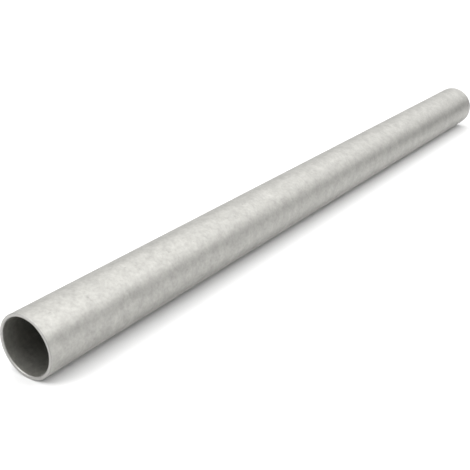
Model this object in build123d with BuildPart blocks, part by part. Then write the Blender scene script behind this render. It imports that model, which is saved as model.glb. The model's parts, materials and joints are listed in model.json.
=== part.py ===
"""A straight length of round stainless steel exhaust tube, cut square at both ends.

The tube lies on its side, as it would on a level floor. The middle of its near cut end is
the origin, the tube runs along +X, and +Z is up. All sizes are in millimetres.
"""

from build123d import *
import os

# The section: a two and a half inch exhaust size with a stout wall.
outer_diameter = 63.5
wall = 3.5

# The length that the tube is sold in.
length = 1000.0

# Both ends are dressed after the cut: a bevel in the mouth and a smaller round outside.
mouth_bevel = 1.2
outer_edge_round = 0.6

with BuildPart() as tube:
    with BuildSketch(Plane.YZ) as section:
        Circle(outer_diameter / 2)
        Circle(outer_diameter / 2 - wall, mode=Mode.SUBTRACT)
    extrude(amount=length)

    mouth_rims = tube.edges().filter_by(GeomType.CIRCLE).group_by(SortBy.RADIUS)[0]
    chamfer(mouth_rims, length=mouth_bevel)

    outer_rims = tube.edges().filter_by(GeomType.CIRCLE).group_by(SortBy.RADIUS)[-1]
    fillet(outer_rims, radius=outer_edge_round)

tube.part.label = "exhaust_tube"

os.makedirs("parts", exist_ok=True)
export_step(tube.part, "parts/exhaust_tube.step")
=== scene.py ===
"""Looks for a length of stainless steel exhaust tube: one turned mesh, four finishes and a plain studio.

All lengths are in metres in the part's own frame: the tube runs along +X from the middle of its
near cut end, and +Z is up.
"""
import json
import math

import bpy
from bpy.props import FloatProperty, FloatVectorProperty, IntProperty, PointerProperty
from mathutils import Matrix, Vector, noise


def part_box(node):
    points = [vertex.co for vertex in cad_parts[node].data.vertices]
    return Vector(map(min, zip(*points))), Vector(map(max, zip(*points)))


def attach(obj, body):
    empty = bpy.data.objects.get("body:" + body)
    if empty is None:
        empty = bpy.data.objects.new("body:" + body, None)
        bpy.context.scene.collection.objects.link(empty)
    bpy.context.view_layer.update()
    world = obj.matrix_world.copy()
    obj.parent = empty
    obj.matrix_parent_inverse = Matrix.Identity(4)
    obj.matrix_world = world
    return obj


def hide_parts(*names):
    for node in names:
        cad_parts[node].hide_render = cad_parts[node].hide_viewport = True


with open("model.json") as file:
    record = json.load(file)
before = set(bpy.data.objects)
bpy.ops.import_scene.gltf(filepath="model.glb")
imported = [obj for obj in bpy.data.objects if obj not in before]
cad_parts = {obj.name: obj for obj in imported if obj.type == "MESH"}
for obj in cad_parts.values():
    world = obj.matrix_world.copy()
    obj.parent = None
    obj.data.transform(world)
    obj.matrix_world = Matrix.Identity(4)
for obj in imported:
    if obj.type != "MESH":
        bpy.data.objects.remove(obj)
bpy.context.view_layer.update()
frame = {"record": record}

bl_info = {
    "name": "Exhaust tube",
    "version": (1, 0, 0),
    "blender": (4, 5, 0),
    "location": "3D View > Sidebar > Exhaust tube",
    "description": "Builds a length of stainless steel exhaust tube and the studio that it lies in",
    "category": "Object",
}

NODE = "exhaust_tube"
MILLIMETRE = 0.001

# The sizes that the frame gives: the tube's box, and its mounts by name.
tube_low, tube_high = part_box(NODE)
mounts = {mount["name"]: mount for mount in frame["record"]["mounts"]}
bore_radius = mounts["bore"]["dims"]["r_mm"] * MILLIMETRE
outer_radius = mounts["outside"]["dims"]["r_mm"] * MILLIMETRE
tube_length = tube_high.x - tube_low.x
mouth_bevel = (tube_length - mounts["bore"]["dims"]["length_mm"] * MILLIMETRE) / 2
outer_round = (tube_length - mounts["outside"]["dims"]["length_mm"] * MILLIMETRE) / 2
ground = -outer_radius

# The tube's finishes, in the order of its material slots.
SKIN, CUT, DRESSED, BORE = range(4)

# Steps of each rounded edge, and the narrow strip beside it that keeps smooth shading off the flats.
EDGE_STEPS = 8
HOLD = 0.3 * MILLIMETRE

# The bevel's width follows a ring of this radius, in this slice of a noise whose features are 1 across.
WANDER_REACH = 3.0
WANDER_SLICE = 0.7

# Blender's noise texture stays almost wholly between these values.
NOISE_SPAN = {"From Min": 0.3, "From Max": 0.7}

# How far above its level the noise goes before a pit is at its darkest.
PIT_EDGE = 0.08

# The camera's sensor in millimetres, the backdrop's flat sides, and its brightness, where 1 is white.
SENSOR_WIDTH = 36.0
BACKDROP_STEPS = 64
BACKDROP_GLOW = 1.2

# Where the dome's parts start and end, as the height of a direction or its share toward the dark side.
DOME_SPAN = (-0.05, 0.45)
ROOF_SPAN = (0.0, 1.0)
REAR_SPAN = (-0.5, 0.5)


def linear(hex_colour):
    """An sRGB colour such as #c8c7c2 as linear red, green and blue."""
    shares = [int(hex_colour[place:place + 2], 16) / 255 for place in (1, 3, 5)]
    return tuple(s / 12.92 if s <= 0.04045 else ((s + 0.055) / 1.055) ** 2.4 for s in shares)


WHITE = (*linear("#ffffff"), 1)


def per_metre(millimetres):
    """The noise scale whose features are that many millimetres across."""
    return 1 / (millimetres * MILLIMETRE)


class TubeSizes(bpy.types.PropertyGroup):
    """Sizes of the tube's mesh."""

    length: FloatProperty(
        name="Length", description="From cut end to cut end",
        default=tube_length, min=0.01, unit="LENGTH")
    radius: FloatProperty(
        name="Outer radius", description="From the tube's axis to its outside",
        default=outer_radius, min=0.002, unit="LENGTH")
    bore: FloatProperty(
        name="Bore radius", description="From the tube's axis to the wall of its bore",
        default=bore_radius, min=0.001, unit="LENGTH")
    edge_round: FloatProperty(
        name="Edge round", description="Radius of the dressed outer edge at each end",
        default=outer_round, min=0.0001, unit="LENGTH")
    bevel: FloatProperty(
        name="Mouth bevel", description="Width of the bevel that a deburring blade leaves in each mouth",
        default=mouth_bevel, min=0.0001, unit="LENGTH")
    bevel_wander: FloatProperty(
        name="Bevel wander", description="Share by which the hand-cut bevel grows and shrinks",
        default=0.3, min=0.0, max=0.8, subtype="FACTOR")
    around: IntProperty(
        name="Steps around", description="Faces round the tube", default=256, min=24)
    along: IntProperty(
        name="Steps along", description="Faces along the tube", default=100, min=1)


class FinishSettings(bpy.types.PropertyGroup):
    """Colours and pattern sizes of the tube's finishes."""

    skin: FloatVectorProperty(
        name="Pickled skin", description="Colour of the pickled outside",
        default=linear("#a9a8a4"), subtype="COLOR", min=0, max=1)
    skin_rough: FloatProperty(
        name="Skin roughness", description="Roughness of the pickled outside on the whole",
        default=0.51, min=0, max=1, subtype="FACTOR")
    skin_rough_change: FloatProperty(
        name="Skin roughness change", description="How far the mottle takes the roughness up and down",
        default=0.05, min=0, max=0.3, subtype="FACTOR")
    cloud: FloatProperty(
        name="Cloud size", description="Size of the faint clouds that the acid leaves, in millimetres",
        default=11.0, min=1.0)
    cloud_share: FloatProperty(
        name="Cloud strength", description="How far the clouds take the skin's colour up and down",
        default=0.085, min=0, max=0.5, subtype="FACTOR")
    mottle: FloatProperty(
        name="Mottle size", description="Size of the mottled patches, in millimetres",
        default=3.2, min=0.5)
    mottle_share: FloatProperty(
        name="Mottle strength", description="How far the mottle takes the skin's colour up and down",
        default=0.07, min=0, max=0.5, subtype="FACTOR")
    fibre: FloatProperty(
        name="Fibre width", description="Width along the tube of the polishing fibres, in millimetres",
        default=2.0, min=0.1)
    fibre_length: FloatProperty(
        name="Fibre length", description="Length round the tube of the polishing fibres, in millimetres",
        default=14.0, min=0.1)
    fibre_share: FloatProperty(
        name="Fibre strength", description="How far the fibres take the skin's colour up and down",
        default=0.015, min=0, max=0.5, subtype="FACTOR")
    fibre_depth: FloatProperty(
        name="Fibre depth", description="Height of the fibres' relief, in millimetres",
        default=0.02, min=0, max=1)
    grain: FloatProperty(
        name="Grain size", description="Size of the etched grain, in millimetres, drawn coarse to show",
        default=1.2, min=0.1)
    grain_depth: FloatProperty(
        name="Grain depth", description="Height of the grain's relief, in millimetres",
        default=0.02, min=0, max=1)
    pit: FloatProperty(
        name="Pit size", description="Size of the noise whose peaks are small dark pits, in millimetres",
        default=5.0, min=0.1)
    pit_level: FloatProperty(
        name="Pit level", description="How high a peak has to be to make a pit, so how few pits there are",
        default=0.72, min=0, max=1, subtype="FACTOR")
    pit_share: FloatProperty(
        name="Pit strength", description="How much darker than the skin a pit is",
        default=0.14, min=0, max=1, subtype="FACTOR")

    cut: FloatVectorProperty(
        name="Sawn face", description="Colour of the flat cut ends",
        default=linear("#abaaa7"), subtype="COLOR", min=0, max=1)
    cut_rough: FloatProperty(
        name="Sawn roughness", description="Roughness of the cut ends on the whole",
        default=0.51, min=0, max=1, subtype="FACTOR")
    cut_rough_change: FloatProperty(
        name="Sawn roughness change", description="How far the saw lines take the roughness up and down",
        default=0.05, min=0, max=0.3, subtype="FACTOR")
    saw_line: FloatProperty(
        name="Saw line width", description="Width of the saw lines, in millimetres, drawn coarse to show",
        default=0.4545, min=0.01)
    saw_length: FloatProperty(
        name="Saw line length", description="Length of the saw lines, in millimetres",
        default=16.67, min=0.1)
    saw_turn: FloatProperty(
        name="Saw line turn", description="Turn of the saw lines from level",
        default=math.radians(25), unit="ROTATION")
    saw_depth: FloatProperty(
        name="Saw line depth", description="Height of the saw lines' relief, in millimetres",
        default=0.01, min=0, max=1)

    # The dressed colour is darker than the sawn face as painted shade, so the bevels and edge rounds show as
    # shaded lines.
    dressed: FloatVectorProperty(
        name="Dressed edge", description="Colour of the mouth bevels and the outer edge rounds",
        default=linear("#9b9a97"), subtype="COLOR", min=0, max=1)
    dressed_rough: FloatProperty(
        name="Dressed roughness", description="Roughness of the dressed edges on the whole",
        default=0.44, min=0, max=1, subtype="FACTOR")
    dressed_rough_change: FloatProperty(
        name="Dressed roughness change", description="How far the marks take the roughness up and down",
        default=0.06, min=0, max=0.3, subtype="FACTOR")
    chatter: FloatProperty(
        name="Chatter size", description="Size of the marks that the blade leaves, in millimetres",
        default=2.5, min=0.1)
    chatter_share: FloatProperty(
        name="Chatter strength", description="How far the blade's marks take the colour up and down",
        default=0.15, min=0, max=0.5, subtype="FACTOR")
    chatter_depth: FloatProperty(
        name="Chatter depth", description="Height of the blade's marks, in millimetres",
        default=0.02, min=0, max=1)

    inside: FloatVectorProperty(
        name="Bore", description="Colour of the wall of the bore",
        default=linear("#8d8c87"), subtype="COLOR", min=0, max=1)
    inside_rough: FloatProperty(
        name="Bore roughness", description="Roughness of the wall of the bore",
        default=0.56, min=0, max=1, subtype="FACTOR")
    stain: FloatProperty(
        name="Stain size", description="Size of the mill's stains in the bore, in millimetres",
        default=4.0, min=0.1)
    stain_share: FloatProperty(
        name="Stain strength", description="How far the stains take the bore's colour up and down",
        default=0.18, min=0, max=0.5, subtype="FACTOR")
    stain_depth: FloatProperty(
        name="Stain depth", description="Height of the stains' relief, in millimetres",
        default=0.04, min=0, max=1)
    # Painted light in the bore: how far in, and how much, its colour is lifted at the mouths, leaving
    # painted shade deeper in.
    clean_depth: FloatProperty(
        name="Painted light depth", description="How far in from each end the bore is lighter",
        default=0.022, min=0.001, unit="LENGTH")
    clean_gain: FloatProperty(
        name="Painted light gain", description="How many times lighter the bore is right at its mouths",
        default=1.5, min=1)


class StudioSettings(bpy.types.PropertyGroup):
    """The camera, the floor, the lights and the dark cards."""

    eye: FloatVectorProperty(
        name="Camera place", description="Where the camera stands, from the middle of the near end",
        default=(-0.4137, -0.5027, 0.3732), unit="LENGTH")
    heading: FloatProperty(
        name="Heading", description="Turn of the view from the line of the tube",
        default=math.radians(34.41), unit="ROTATION")
    pitch: FloatProperty(
        name="Pitch", description="How far the camera looks down",
        default=math.radians(23.19), unit="ROTATION")
    lens: FloatProperty(
        name="Lens", description="Focal length on a 36 mm wide sensor",
        default=64.19, unit="CAMERA")

    floor: FloatVectorProperty(
        name="Floor", description="Colour of the floor's matt white paint",
        default=linear("#dadada"), subtype="COLOR", min=0, max=1)
    floor_size: FloatProperty(
        name="Floor size", description="Width of the square floor", default=60.0, unit="LENGTH")
    wall_height: FloatProperty(
        name="Backdrop height", description="Height of the white wall that only the camera sees",
        default=20.0, unit="LENGTH")

    dome: FloatProperty(
        name="Dome", description="Brightness of the white dome well above the horizon; its rim is dark",
        default=0.82, min=0)
    roof: FloatProperty(
        name="Roof", description="Brightness added toward the top of the dome", default=0.93, min=0)
    rear: FloatProperty(
        name="Rear", description="Brightness added on the side away from the camera", default=0.265, min=0)
    dark_side: FloatProperty(
        name="Dark side", description="The camera's side of the dome, turned from the line of the tube",
        default=math.radians(-55), unit="ROTATION")

    long_place: FloatVectorProperty(
        name="Long softbox place", description="Middle of the long softbox, from the middle of the near end",
        default=(4.7, -1.086, 2.829), unit="LENGTH")
    long_length: FloatProperty(
        name="Long softbox length", description="Along the tube", default=11.6, unit="LENGTH")
    long_width: FloatProperty(
        name="Long softbox width", description="Across the tube", default=5.6, unit="LENGTH")
    long_power: FloatProperty(
        name="Long softbox power", description="Power of the long softbox", default=121.0, unit="POWER")
    mouth_place: FloatVectorProperty(
        name="Mouth softbox place", description="Middle of the square softbox that shines into the mouth",
        default=(-1.9, 0.8, 2.0), unit="LENGTH")
    mouth_size: FloatProperty(
        name="Mouth softbox size", description="Side of the mouth softbox", default=1.2, unit="LENGTH")
    mouth_power: FloatProperty(
        name="Mouth softbox power", description="Power of the mouth softbox", default=31.0, unit="POWER")
    near_place: FloatVectorProperty(
        name="Near softbox place", description="Middle of the small softbox that lifts the near end",
        default=(0.75, -0.9, 1.0), unit="LENGTH")
    near_size: FloatProperty(
        name="Near softbox size", description="Side of the near softbox", default=0.5, unit="LENGTH")
    near_power: FloatProperty(
        name="Near softbox power", description="Power of the near softbox", default=0.95, unit="POWER")

    # The card and the strip show only in reflections: painted dark reflections, the strip standing in for
    # the shade beside the lowest edge.
    felt: FloatVectorProperty(
        name="Felt", description="Colour of the felt on the dark card and the dark strip",
        default=linear("#4f4f4f"), subtype="COLOR", min=0, max=1)
    card_start: FloatProperty(
        name="Card start", description="Where the dark card starts, from the near end",
        default=0.95, unit="LENGTH")
    card_length: FloatProperty(
        name="Card length", description="Length of the dark card", default=2.05, min=0.01, unit="LENGTH")
    card_height: FloatProperty(
        name="Card height", description="Height of the dark card", default=0.072, min=0.001, unit="LENGTH")
    card_distance: FloatProperty(
        name="Card distance", description="From the tube's axis to the dark card",
        default=0.25, unit="LENGTH")
    # The dark strip is painted shade: a dark sheet beside the contact that only reflections show.
    strip_start: FloatProperty(
        name="Strip start", description="Where the dark strip starts, from the near end",
        default=0.12, unit="LENGTH")
    strip_length: FloatProperty(
        name="Strip length", description="Length of the dark strip", default=0.93, min=0.01, unit="LENGTH")
    strip_width: FloatProperty(
        name="Strip width", description="Width of the dark strip", default=0.0025, min=0.0001, unit="LENGTH")
    strip_distance: FloatProperty(
        name="Strip distance", description="From the tube's axis to the dark strip",
        default=0.033, unit="LENGTH")
    strip_lift: FloatProperty(
        name="Strip lift", description="Height of the dark strip above the floor",
        default=0.00045, unit="LENGTH")


def add_node(tree, kind, inputs=None, **settings):
    """Add a node, set its attributes, and give each input a value or a socket to link from."""
    made = tree.nodes.new(kind)
    for name, value in settings.items():
        setattr(made, name, value)
    for name, value in (inputs or {}).items():
        if isinstance(value, bpy.types.NodeSocket):
            tree.links.new(value, made.inputs[name])
        else:
            made.inputs[name].default_value = value
    return made


def new_material(name):
    """An empty node material and its tree."""
    material = bpy.data.materials.new(name)
    material.use_nodes = True
    material.node_tree.nodes.clear()
    return material, material.node_tree


def pickled_stainless(look):
    """Stainless steel, belt-polished, annealed and pickled in acid.

    The acid takes the mirror off, so it looks matt light grey, with faint clouds, a finer mottle,
    a few small dark pits and the last of the belt's fibres.
    """
    material, tree = new_material("pickled_stainless")
    place = add_node(tree, "ShaderNodeTexCoord").outputs["Object"]
    cloud = add_node(
        tree, "ShaderNodeTexNoise",
        {"Vector": place, "Scale": per_metre(look.cloud), "Detail": 2.0, "Roughness": 0.5})
    mottle = add_node(
        tree, "ShaderNodeTexNoise",
        {"Vector": place, "Scale": per_metre(look.mottle), "Detail": 4.0, "Roughness": 0.6})
    # The belt turned round the tube, so the fibres are long round it and short along it. Real ones are
    # about a tenth as wide, too fine to show.
    width, length = per_metre(look.fibre), per_metre(look.fibre_length)
    stretched = add_node(
        tree, "ShaderNodeMapping", {"Vector": place, "Scale": (width, length, length)})
    fibre = add_node(
        tree, "ShaderNodeTexNoise",
        {"Vector": stretched.outputs[0], "Scale": 1.0, "Detail": 2.0, "Roughness": 0.5})
    # Real etched grain is a few hundredths of a millimetre across, so this is drawn much coarser.
    grain = add_node(
        tree, "ShaderNodeTexNoise",
        {"Vector": place, "Scale": per_metre(look.grain), "Detail": 3.0, "Roughness": 0.6})
    pits = add_node(
        tree, "ShaderNodeTexNoise",
        {"Vector": place, "Scale": per_metre(look.pit), "Detail": 1.0, "Roughness": 0.5})
    pit_span = {"From Min": look.pit_level, "From Max": look.pit_level + PIT_EDGE}
    shades = None
    for source, span, first, last, clamp in (
            (cloud, NOISE_SPAN, 1 - look.cloud_share, 1 + look.cloud_share, False),
            (mottle, NOISE_SPAN, 1 - look.mottle_share, 1 + look.mottle_share, False),
            (fibre, NOISE_SPAN, 1 - look.fibre_share, 1 + look.fibre_share, False),
            (pits, pit_span, 1.0, 1 - look.pit_share, True)):
        part = add_node(
            tree, "ShaderNodeMapRange",
            {"Value": source.outputs["Fac"], **span, "To Min": first, "To Max": last},
            clamp=clamp).outputs[0]
        if shades:
            part = add_node(tree, "ShaderNodeMath", {0: shades, 1: part}, operation="MULTIPLY").outputs[0]
        shades = part
    colour = add_node(
        tree, "ShaderNodeVectorMath", {0: tuple(look.skin), "Scale": shades}, operation="SCALE")
    # The lighter patches of the mottle are also the smoother ones.
    dull = add_node(
        tree, "ShaderNodeMapRange",
        {"Value": mottle.outputs["Fac"], **NOISE_SPAN,
         "To Min": look.skin_rough + look.skin_rough_change,
         "To Max": look.skin_rough - look.skin_rough_change})
    waves = add_node(
        tree, "ShaderNodeBump",
        {"Height": fibre.outputs["Fac"], "Strength": 1.0, "Distance": look.fibre_depth * MILLIMETRE})
    bump = add_node(
        tree, "ShaderNodeBump",
        {"Height": grain.outputs["Fac"], "Strength": 1.0, "Distance": look.grain_depth * MILLIMETRE,
         "Normal": waves.outputs[0]})
    shader = add_node(
        tree, "ShaderNodeBsdfPrincipled",
        {"Base Color": colour.outputs[0], "Metallic": 1.0, "Roughness": dull.outputs[0],
         "Normal": bump.outputs[0]})
    add_node(tree, "ShaderNodeOutputMaterial", {"Surface": shader.outputs[0]})
    return material


def sawn_stainless(look):
    """Stainless steel, cold sawn and rubbed down: bare metal as light as the skin, in an even tone.

    The saw leaves fine parallel lines, which break its gloss into short streaks.
    """
    material, tree = new_material("sawn_stainless")
    place = add_node(tree, "ShaderNodeTexCoord").outputs["Object"]
    # Real saw lines are two to four times as fine, too fine to show.
    lines = add_node(
        tree, "ShaderNodeMapping",
        {"Vector": place, "Rotation": (look.saw_turn, 0, 0),
         "Scale": (1, per_metre(look.saw_length), per_metre(look.saw_line))})
    saw = add_node(tree, "ShaderNodeTexNoise", {"Vector": lines.outputs[0], "Scale": 1.0, "Detail": 3.0})
    dull = add_node(
        tree, "ShaderNodeMapRange",
        {"Value": saw.outputs["Fac"], **NOISE_SPAN,
         "To Min": look.cut_rough - look.cut_rough_change,
         "To Max": look.cut_rough + look.cut_rough_change})
    bump = add_node(
        tree, "ShaderNodeBump",
        {"Height": saw.outputs["Fac"], "Strength": 1.0, "Distance": look.saw_depth * MILLIMETRE})
    shader = add_node(
        tree, "ShaderNodeBsdfPrincipled",
        {"Base Color": (*look.cut, 1), "Metallic": 1.0, "Roughness": dull.outputs[0],
         "Normal": bump.outputs[0]})
    add_node(tree, "ShaderNodeOutputMaterial", {"Surface": shader.outputs[0]})
    return material


def dressed_stainless(look):
    """Stainless steel, deburred by hand with a turning blade.

    It is a little smoother than the sawn face, and its colour is darker as painted shade, so that each
    rounded edge shows as a shaded line; the blade's chatter makes that line lighter and darker along its
    way.
    """
    material, tree = new_material("dressed_stainless")
    place = add_node(tree, "ShaderNodeTexCoord").outputs["Object"]
    chatter = add_node(
        tree, "ShaderNodeTexNoise",
        {"Vector": place, "Scale": per_metre(look.chatter), "Detail": 3.0, "Roughness": 0.6})
    dull = add_node(
        tree, "ShaderNodeMapRange",
        {"Value": chatter.outputs["Fac"], **NOISE_SPAN,
         "To Min": look.dressed_rough - look.dressed_rough_change,
         "To Max": look.dressed_rough + look.dressed_rough_change})
    shade = add_node(
        tree, "ShaderNodeMapRange",
        {"Value": chatter.outputs["Fac"], **NOISE_SPAN,
         "To Min": 1 - look.chatter_share, "To Max": 1 + look.chatter_share}, clamp=False)
    # Painted shade: the darker dressed colour, varied by the blade's real chatter marks.
    colour = add_node(
        tree, "ShaderNodeVectorMath",
        {0: tuple(look.dressed), "Scale": shade.outputs[0]}, operation="SCALE")
    bump = add_node(
        tree, "ShaderNodeBump",
        {"Height": chatter.outputs["Fac"], "Strength": 1.0, "Distance": look.chatter_depth * MILLIMETRE})
    shader = add_node(
        tree, "ShaderNodeBsdfPrincipled",
        {"Base Color": colour.outputs[0], "Metallic": 1.0, "Roughness": dull.outputs[0],
         "Normal": bump.outputs[0]})
    add_node(tree, "ShaderNodeOutputMaterial", {"Surface": shader.outputs[0]})
    return material


def mill_stainless(look):
    """Stainless steel as the mill left it inside the bore, where no belt reached.

    It is duller and darker than the outside and a little stained, and its colour is painted lighter
    toward both mouths: painted light where light falls in, and painted shade deeper in the bore.
    """
    material, tree = new_material("mill_stainless")
    place = add_node(tree, "ShaderNodeTexCoord").outputs["Object"]
    along = add_node(tree, "ShaderNodeSeparateXYZ", {"Vector": place}).outputs["X"]
    half = tube_length / 2
    middle = add_node(tree, "ShaderNodeMath", {0: along, 1: half}, operation="SUBTRACT")
    off_middle = add_node(tree, "ShaderNodeMath", {0: middle.outputs[0]}, operation="ABSOLUTE")
    # Painted light: the colour is lighter within this depth of each mouth, where light falls in, and darker
    # deeper in as painted shade.
    clean = add_node(
        tree, "ShaderNodeMapRange",
        {"Value": off_middle.outputs[0], "From Min": half - look.clean_depth, "From Max": half,
         "To Min": 1.0, "To Max": look.clean_gain}, interpolation_type="SMOOTHSTEP")
    stains = add_node(
        tree, "ShaderNodeTexNoise",
        {"Vector": place, "Scale": per_metre(look.stain), "Detail": 4.0, "Roughness": 0.65})
    marks = add_node(
        tree, "ShaderNodeMapRange",
        {"Value": stains.outputs["Fac"], **NOISE_SPAN,
         "To Min": 1 - look.stain_share, "To Max": 1 + look.stain_share}, clamp=False)
    shade = add_node(
        tree, "ShaderNodeMath", {0: clean.outputs[0], 1: marks.outputs[0]}, operation="MULTIPLY")
    colour = add_node(
        tree, "ShaderNodeVectorMath",
        {0: tuple(look.inside), "Scale": shade.outputs[0]}, operation="SCALE")
    bump = add_node(
        tree, "ShaderNodeBump",
        {"Height": stains.outputs["Fac"], "Strength": 1.0, "Distance": look.stain_depth * MILLIMETRE})
    shader = add_node(
        tree, "ShaderNodeBsdfPrincipled",
        {"Base Color": colour.outputs[0], "Metallic": 1.0, "Roughness": look.inside_rough,
         "Normal": bump.outputs[0]})
    add_node(tree, "ShaderNodeOutputMaterial", {"Surface": shader.outputs[0]})
    return material


def end_points(size, bevel):
    """The section of one cut end as (depth from the face, radius), from the bore to the outside."""
    corner = size.radius - size.edge_round
    inner, outer = [], []
    for step in range(EDGE_STEPS + 1):
        turn = math.pi / 2 * step / EDGE_STEPS
        inner.append((bevel * (1 - math.sin(turn)), size.bore + bevel * (1 - math.cos(turn))))
        outer.append((size.edge_round * (1 - math.cos(turn)), corner + size.edge_round * math.sin(turn)))
    return [
        (bevel + HOLD, size.bore), *inner, (0.0, size.bore + bevel + HOLD),
        (0.0, corner - HOLD), *outer, (size.edge_round + HOLD, size.radius)]


def wall_section(size, angle):
    """The closed section of the wall at an angle round the axis, as (place along the tube, radius)."""
    spot = Vector((WANDER_REACH * math.cos(angle), WANDER_REACH * math.sin(angle), WANDER_SLICE))
    near = end_points(size, size.bevel * (1 + size.bevel_wander * noise.noise(spot)))
    stretch = [size.length * step / size.along for step in range(1, size.along)]
    outside = [(x, size.radius) for x in stretch]
    far = [(size.length - depth, radius) for depth, radius in reversed(near)]
    inside = [(x, size.bore) for x in reversed(stretch)]
    return near + outside + far + inside


def strip_finishes(size):
    """The finish of each strip of faces, which runs from one point of the section to the next."""
    edge = [DRESSED] * EDGE_STEPS
    # The face between the two edges is one wide strip with a narrow one on each side.
    end = [BORE] + edge + [CUT] * 3 + edge + [SKIN]
    return end + [SKIN] * size.along + end[::-1] + [BORE] * size.along


class EXHAUST_OT_tube(bpy.types.Operator):
    """Turn the tube's wall section round its axis and give it its four finishes"""

    bl_idname = "exhaust.tube"
    bl_label = "Tube"

    def execute(self, context):
        size = context.scene.exhaust_sizes
        look = context.scene.exhaust_finish
        vertices = []
        for number in range(size.around):
            angle = 2 * math.pi * number / size.around
            section = wall_section(size, angle)
            vertices += [(x, r * math.cos(angle), r * math.sin(angle)) for x, r in section]
        finishes = strip_finishes(size)
        count = len(section)
        faces, indices = [], []
        for number in range(size.around):
            here, there = number * count, (number + 1) % size.around * count
            for point in range(count):
                after = (point + 1) % count
                faces.append((here + point, here + after, there + after, there + point))
                indices.append(finishes[point])
        mesh = bpy.data.meshes.new("tube")
        mesh.from_pydata(vertices, [], faces)
        for make in (pickled_stainless, sawn_stainless, dressed_stainless, mill_stainless):
            mesh.materials.append(make(look))
        mesh.polygons.foreach_set("material_index", indices)
        mesh.shade_smooth()
        if mesh.validate():
            raise RuntimeError("the tube's mesh has faces that are not sound")
        tube = bpy.data.objects.new("tube", mesh)
        context.scene.collection.objects.link(tube)
        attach(tube, "root")
        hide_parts(NODE)
        return {"FINISHED"}


def plain_mesh(scene, name, corners, faces, material):
    """A mesh object of one material, linked to the scene."""
    mesh = bpy.data.meshes.new(name)
    mesh.from_pydata(corners, [], faces)
    mesh.materials.append(material)
    made = bpy.data.objects.new(name, mesh)
    scene.collection.objects.link(made)
    return made


def add_floor(scene, studio):
    """A level square of matt white paint under the tube."""
    half = studio.floor_size / 2
    corners = [(-half, -half, ground), (half, -half, ground), (half, half, ground), (-half, half, ground)]
    material, tree = new_material("matt_white_paint")
    shader = add_node(
        tree, "ShaderNodeBsdfPrincipled",
        {"Base Color": (*studio.floor, 1), "Roughness": 0.9, "Specular IOR Level": 0.2})
    add_node(tree, "ShaderNodeOutputMaterial", {"Surface": shader.outputs[0]})
    floor = plain_mesh(scene, "floor", corners, [(0, 1, 2, 3)], material)


def add_backdrop(scene, studio):
    """A white wall round the floor that gives low views a white background and lights nothing."""
    reach = studio.floor_size / 2
    corners, faces = [], []
    for step in range(BACKDROP_STEPS):
        turn = 2 * math.pi * step / BACKDROP_STEPS
        x, y = reach * math.cos(turn), reach * math.sin(turn)
        corners += [(x, y, ground), (x, y, studio.wall_height)]
        here, there = 2 * step, 2 * ((step + 1) % BACKDROP_STEPS)
        faces.append((here, there, there + 1, here + 1))
    material, tree = new_material("lit_white_cloth")
    glow = add_node(tree, "ShaderNodeEmission", {"Color": WHITE, "Strength": BACKDROP_GLOW})
    add_node(tree, "ShaderNodeOutputMaterial", {"Surface": glow.outputs[0]})
    material.cycles.emission_sampling = "NONE"
    backdrop = plain_mesh(scene, "backdrop", corners, faces, material)
    backdrop.visible_diffuse = False
    backdrop.visible_glossy = False
    backdrop.visible_transmission = False
    backdrop.visible_shadow = False


def add_card(scene, studio, name, start, length, first, second):
    """A card of dark felt along the tube that only gloss sees, a painted dark reflection, between two edges
    given as (y, z).
    """
    end = start + length
    corners = [(start, *first), (end, *first), (end, *second), (start, *second)]
    material, tree = new_material("painted_dark_reflection_felt")
    shader = add_node(tree, "ShaderNodeBsdfDiffuse", {"Color": (*studio.felt, 1)})
    add_node(tree, "ShaderNodeOutputMaterial", {"Surface": shader.outputs[0]})
    card = plain_mesh(scene, name, corners, [(0, 1, 2, 3)], material)
    card.visible_camera = False
    card.visible_diffuse = False
    card.visible_shadow = False


def add_cards(scene, studio):
    """A standing card whose painted dark reflection darkens the band at the far end, and a strip whose
    painted dark reflection is painted shade on the lowest edge.
    """
    # Painted dark reflection: a card that only gloss sees, darkening the band at the far end.
    side = -studio.card_distance
    add_card(
        scene, studio, "painted_reflection_card", studio.card_start, studio.card_length,
        (side, ground), (side, ground + studio.card_height))
    # Painted shade: a dark sheet beside the tube's lowest edge, seen only in its reflection.
    side, height = -studio.strip_distance, ground + studio.strip_lift
    add_card(
        scene, studio, "painted_shade_strip", studio.strip_start, studio.strip_length,
        (side, height), (side - studio.strip_width, height))


def tent(studio):
    """The world as a white dome: dark at its rim, brightest overhead, a little lighter at the rear."""
    world = bpy.data.worlds.new("tent")
    world.use_nodes = True
    tree = world.node_tree
    tree.nodes.clear()
    towards = add_node(tree, "ShaderNodeTexCoord").outputs["Generated"]
    height = add_node(tree, "ShaderNodeSeparateXYZ", {"Vector": towards}).outputs["Z"]
    front = (math.cos(studio.dark_side), math.sin(studio.dark_side), 0)
    side = add_node(tree, "ShaderNodeVectorMath", {0: towards, 1: front}, operation="DOT_PRODUCT")
    glow = None
    for value, (low, high), first, last in (
            (height, DOME_SPAN, 0, studio.dome),
            (height, ROOF_SPAN, 0, studio.roof),
            (side.outputs["Value"], REAR_SPAN, studio.rear, 0)):
        part = add_node(
            tree, "ShaderNodeMapRange",
            {"Value": value, "From Min": low, "From Max": high, "To Min": first, "To Max": last},
            interpolation_type="SMOOTHSTEP").outputs[0]
        glow = add_node(tree, "ShaderNodeMath", {0: glow, 1: part}).outputs[0] if glow else part
    light = add_node(tree, "ShaderNodeBackground", {"Color": WHITE, "Strength": glow})
    add_node(tree, "ShaderNodeOutputWorld", {"Surface": light.outputs[0]})
    return world


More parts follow.
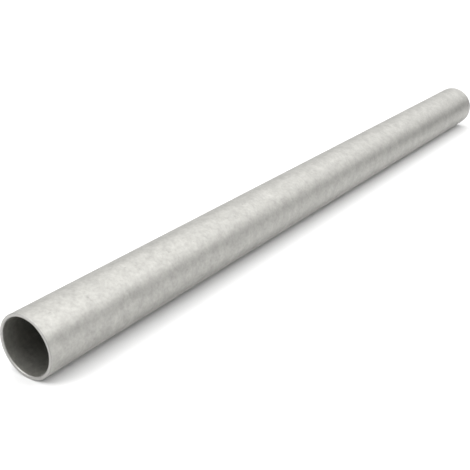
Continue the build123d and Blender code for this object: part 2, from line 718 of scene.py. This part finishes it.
def add_softbox(scene, name, place, aim, size, power):
    """A rectangular soft light that faces a point and that the camera doesn't see."""
    data = bpy.data.lights.new(name, "AREA")
    data.shape = "RECTANGLE"
    data.size, data.size_y = size
    data.energy = power
    light = bpy.data.objects.new(name, data)
    light.location = place
    light.rotation_euler = (aim - place).to_track_quat("-Z", "Y").to_euler()
    light.visible_camera = False
    scene.collection.objects.link(light)


def add_softboxes(scene, studio):
    """The long softbox over the tube, and two square ones that face the middle of its near end."""
    above = Vector(studio.long_place)
    mouth = Vector((0, 0, 0))
    add_softbox(
        scene, "long_softbox", above, Vector((above.x, 0, 0)),
        (studio.long_length, studio.long_width), studio.long_power)
    add_softbox(
        scene, "mouth_softbox", Vector(studio.mouth_place), mouth,
        (studio.mouth_size, studio.mouth_size), studio.mouth_power)
    add_softbox(
        scene, "near_softbox", Vector(studio.near_place), mouth,
        (studio.near_size, studio.near_size), studio.near_power)


def add_camera(scene, studio):
    """The camera, held level across, which looks down at the tube and along it."""
    data = bpy.data.cameras.new("camera")
    data.lens = studio.lens
    data.sensor_width = SENSOR_WIDTH
    camera = bpy.data.objects.new("camera", data)
    camera.location = Vector((tube_low.x, 0, 0)) + Vector(studio.eye)
    camera.rotation_euler = (math.pi / 2 - studio.pitch, 0, studio.heading - math.pi / 2)
    scene.collection.objects.link(camera)
    scene.camera = camera


class EXHAUST_OT_studio(bpy.types.Operator):
    """Lay the pale floor, hang the soft lights, place the dark cards and stand the camera"""

    bl_idname = "exhaust.studio"
    bl_label = "Studio"

    def execute(self, context):
        scene = context.scene
        studio = scene.exhaust_studio
        add_floor(scene, studio)
        add_backdrop(scene, studio)
        add_cards(scene, studio)
        scene.world = tent(studio)
        add_softboxes(scene, studio)
        add_camera(scene, studio)
        scene.view_settings.view_transform = "Standard"
        return {"FINISHED"}


class EXHAUST_PT_panel(bpy.types.Panel):
    """Sizes, colours and buttons for the exhaust tube"""

    bl_idname = "EXHAUST_PT_panel"
    bl_label = "Exhaust tube"
    bl_space_type = "VIEW_3D"
    bl_region_type = "UI"
    bl_category = "Exhaust tube"

    def draw(self, context):
        scene = context.scene
        rows = (
            (scene.exhaust_sizes, None),
            (scene.exhaust_finish, EXHAUST_OT_tube),
            (scene.exhaust_studio, EXHAUST_OT_studio),
        )
        for settings, operator in rows:
            box = self.layout.box()
            for name in settings.__annotations__:
                box.prop(settings, name)
            if operator:
                box.operator(operator.bl_idname)


CLASSES = (
    TubeSizes, FinishSettings, StudioSettings, EXHAUST_OT_tube, EXHAUST_OT_studio, EXHAUST_PT_panel)


def register():
    for cls in CLASSES:
        bpy.utils.register_class(cls)
    bpy.types.Scene.exhaust_sizes = PointerProperty(type=TubeSizes)
    bpy.types.Scene.exhaust_finish = PointerProperty(type=FinishSettings)
    bpy.types.Scene.exhaust_studio = PointerProperty(type=StudioSettings)


def unregister():
    del bpy.types.Scene.exhaust_studio
    del bpy.types.Scene.exhaust_finish
    del bpy.types.Scene.exhaust_sizes
    for cls in reversed(CLASSES):
        bpy.utils.unregister_class(cls)


def main():
    register()
    bpy.ops.exhaust.tube()
    bpy.ops.exhaust.studio()


if __name__ == "__main__":
    main()
